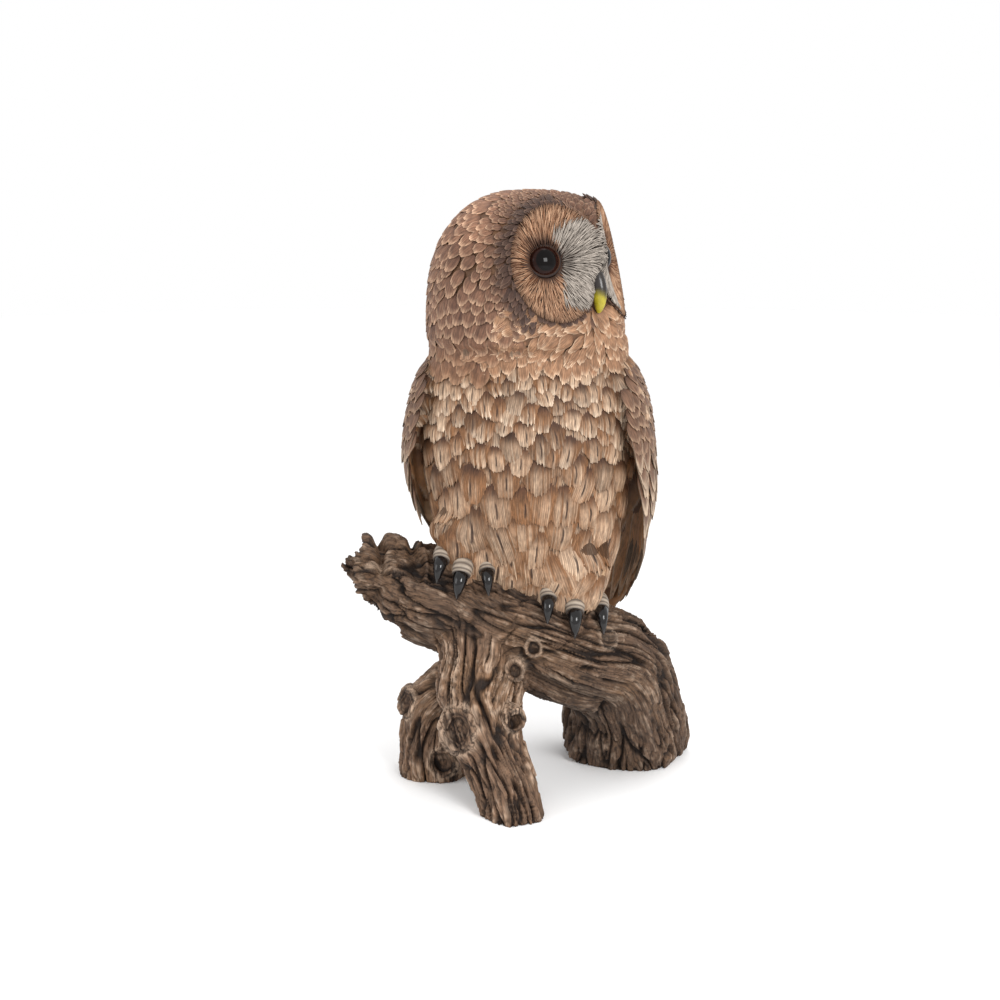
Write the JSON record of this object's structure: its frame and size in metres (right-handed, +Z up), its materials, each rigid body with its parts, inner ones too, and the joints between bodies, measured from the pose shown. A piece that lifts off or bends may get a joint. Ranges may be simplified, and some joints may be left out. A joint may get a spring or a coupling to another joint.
{
  "type": "cast resin tawny owl ornament on a driftwood branch",
  "caption": "Hand-painted cast-resin tawny owl, perched with its head turned on an arched driftwood branch that stands on its own feet.",
  "frame": {"origin": "middle of the footprint's bounding box, on the floor", "axes": "+Z up, the owl's face looks along -Y, and +X is to the owl's left"},
  "size_m": [0.1715, 0.143, 0.3149],
  "materials": {
    "feathers": "matte hand-painted resin",
    "face": "matte hand-painted resin",
    "wood": "matte resin painted as weathered wood",
    "toe": "matte hand-painted resin",
    "horn": "glossy black paint",
    "bill": "glossy paint, grey to yellow-green",
    "eye": "glossy inset eye"
  },
  "bodies": {
    "root": {"arch": "wood", "arch_foot": "wood", "beak": "bill", "branch": "wood", "eye_left": "eye", "eye_right": "eye", "facial_disc_left": "face", "facial_disc_right": "face", "flight_feathers_left": "feathers", "flight_feathers_right": "feathers", "front_leg": "wood", "head": "feathers", "knot_front": "wood", "knot_large": "wood", "knot_left": "wood", "knot_low": "wood", "knot_side": "wood", "knot_slit": "wood", "knot_top": "wood", "left_leg": "wood", "leg_left": "feathers", "leg_right": "feathers", "neck": "feathers", "tail": "feathers", "talon_left_1": "horn", "talon_left_2": "horn", "talon_left_3": "horn", "talon_right_1": "horn", "talon_right_2": "horn", "talon_right_3": "horn", "toe_left_1": "toe", "toe_left_2": "toe", "toe_left_3": "toe", "toe_right_1": "toe", "toe_right_2": "toe", "toe_right_3": "toe", "trunk": "feathers", "wing_left": "feathers", "wing_right": "feathers"}
  },
  "joints": []
}
